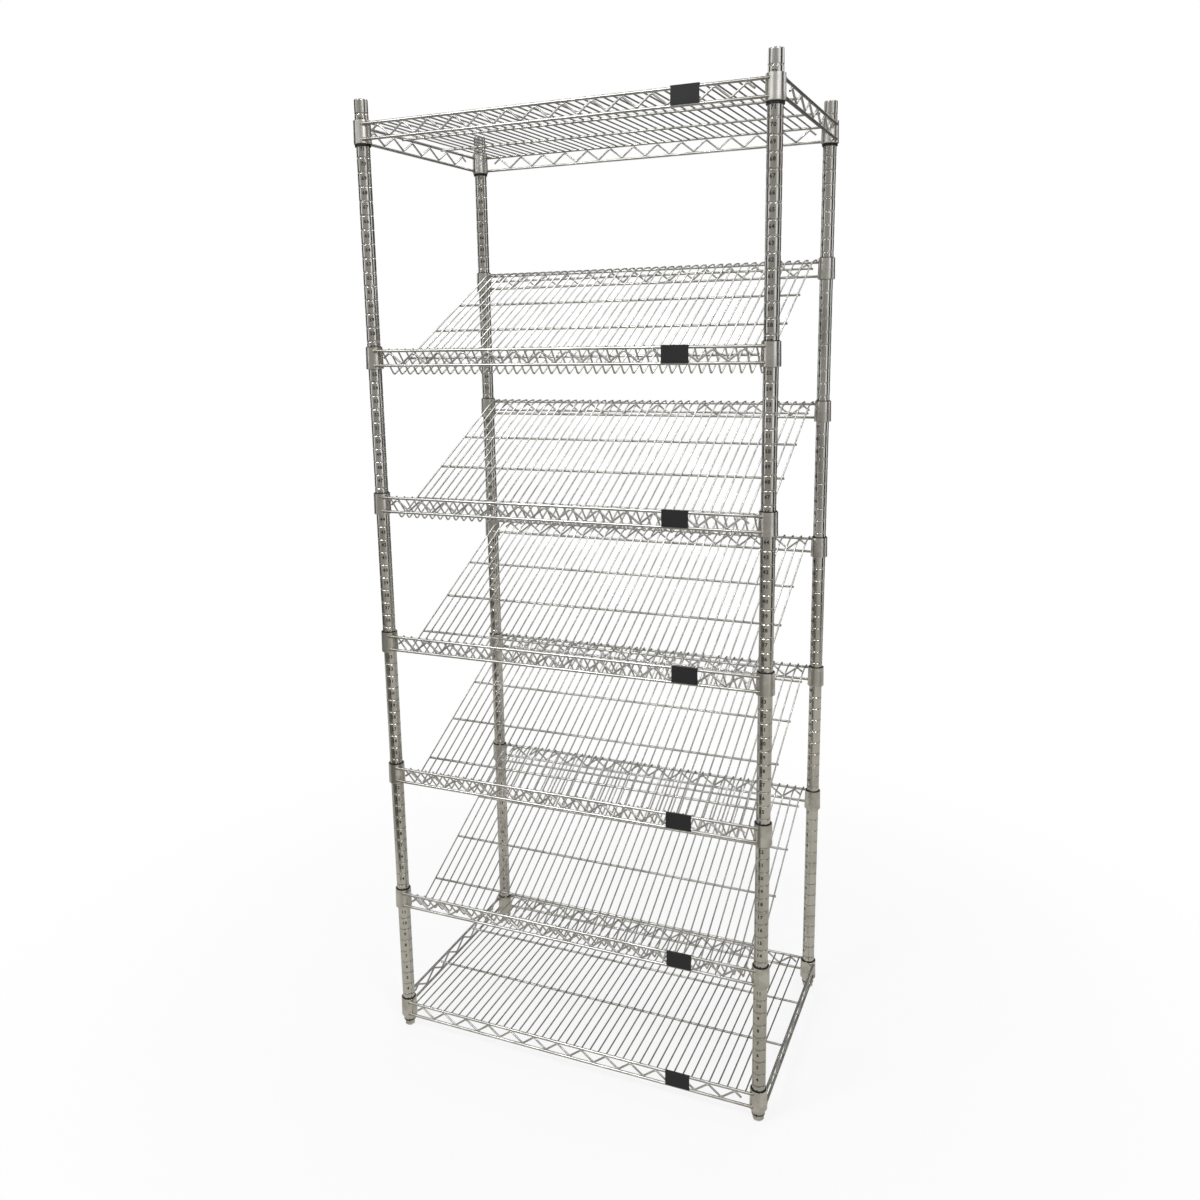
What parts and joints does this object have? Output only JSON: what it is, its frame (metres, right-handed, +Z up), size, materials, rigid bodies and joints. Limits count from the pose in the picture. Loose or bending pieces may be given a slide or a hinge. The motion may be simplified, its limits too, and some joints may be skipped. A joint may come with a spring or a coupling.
{
  "type": "slanted wire shelving unit",
  "caption": "Free-standing wire shelving unit: grooved round posts carry flat wire shelves and slanted display shelves with a bent front pocket, on wedge sleeves and levelling feet.",
  "frame": {"origin": "centre of the footprint on the floor, under the middle of the four posts", "axes": "+Z up along the posts, +X to the right seen from the front, -Y towards the front of the shelves"},
  "size_m": [0.7954, 0.4906, 1.8796],
  "materials": {
    "post": "bright plated tube",
    "cap": "bright plated",
    "collar": "bright plated",
    "wire": "bright plated wire",
    "sleeve": "moulded black",
    "label": "satin black",
    "foot": "plated hexagon",
    "insert": "moulded"
  },
  "bodies": {
    "post_frame": {"post_front_left": "post", "post_front_right": "post", "post_rear_left": "post", "post_rear_right": "post", "post_caps": "cap", "foot_inserts": "insert", "top_flat_sleeves": "sleeve", "slant_1_sleeves": "sleeve", "slant_2_sleeves": "sleeve", "slant_3_sleeves": "sleeve", "slant_4_sleeves": "sleeve", "slant_5_sleeves": "sleeve", "bottom_flat_sleeves": "sleeve"},
    "top_flat_shelf": {"top_flat_collars": "collar", "top_flat_rails": "wire", "top_flat_trusses": "wire", "top_flat_cross_wires": "wire", "top_flat_deck_wires": "wire", "top_flat_label_plate": "label"},
    "slant_1_shelf": {"slant_1_collars": "collar", "slant_1_rails": "wire", "slant_1_trusses": "wire", "slant_1_cross_wires": "wire", "slant_1_deck_wires": "wire", "slant_1_label_plate": "label"},
    "slant_2_shelf": {"slant_2_collars": "collar", "slant_2_rails": "wire", "slant_2_trusses": "wire", "slant_2_cross_wires": "wire", "slant_2_deck_wires": "wire", "slant_2_label_plate": "label"},
    "slant_3_shelf": {"slant_3_collars": "collar", "slant_3_rails": "wire", "slant_3_trusses": "wire", "slant_3_cross_wires": "wire", "slant_3_deck_wires": "wire", "slant_3_label_plate": "label"},
    "slant_4_shelf": {"slant_4_collars": "collar", "slant_4_rails": "wire", "slant_4_trusses": "wire", "slant_4_cross_wires": "wire", "slant_4_deck_wires": "wire", "slant_4_label_plate": "label"},
    "slant_5_shelf": {"slant_5_collars": "collar", "slant_5_rails": "wire", "slant_5_trusses": "wire", "slant_5_cross_wires": "wire", "slant_5_deck_wires": "wire", "slant_5_label_plate": "label"},
    "bottom_flat_shelf": {"bottom_flat_collars": "collar", "bottom_flat_rails": "wire", "bottom_flat_trusses": "wire", "bottom_flat_cross_wires": "wire", "bottom_flat_deck_wires": "wire", "bottom_flat_label_plate": "label"},
    "foot_front_left": {"foot_front_left": "foot"},
    "foot_front_right": {"foot_front_right": "foot"},
    "foot_rear_left": {"foot_rear_left": "foot"},
    "foot_rear_right": {"foot_rear_right": "foot"}
  },
  "joints": [
    {"name": "top_flat_lift", "type": "slide", "parent": "post_frame", "child": "top_flat_shelf", "axis": [0, 0, 1], "range_m": [0, 0.075]},
    {"name": "slant_1_lift", "type": "slide", "parent": "post_frame", "child": "slant_1_shelf", "axis": [0, 0, 1], "range_m": [0, 0.2]},
    {"name": "slant_2_lift", "type": "slide", "parent": "post_frame", "child": "slant_2_shelf", "axis": [0, 0, 1], "range_m": [0, 0.235]},
    {"name": "slant_3_lift", "type": "slide", "parent": "post_frame", "child": "slant_3_shelf", "axis": [0, 0, 1], "range_m": [0, 0.235]},
    {"name": "slant_4_lift", "type": "slide", "parent": "post_frame", "child": "slant_4_shelf", "axis": [0, 0, 1], "range_m": [0, 0.235]},
    {"name": "slant_5_lift", "type": "slide", "parent": "post_frame", "child": "slant_5_shelf", "axis": [0, 0, 1], "range_m": [0, 0.235]},
    {"name": "bottom_flat_lift", "type": "slide", "parent": "post_frame", "child": "bottom_flat_shelf", "axis": [0, 0, 1], "range_m": [0, 0.195]},
    {"name": "foot_front_left_level", "type": "slide", "parent": "post_frame", "child": "foot_front_left", "axis": [0, 0, -1], "range_m": [0, 0.015]},
    {"name": "foot_front_right_level", "type": "slide", "parent": "post_frame", "child": "foot_front_right", "axis": [0, 0, -1], "range_m": [0, 0.015]},
    {"name": "foot_rear_left_level", "type": "slide", "parent": "post_frame", "child": "foot_rear_left", "axis": [0, 0, -1], "range_m": [0, 0.015]},
    {"name": "foot_rear_right_level", "type": "slide", "parent": "post_frame", "child": "foot_rear_right", "axis": [0, 0, -1], "range_m": [0, 0.015]}
  ]
}
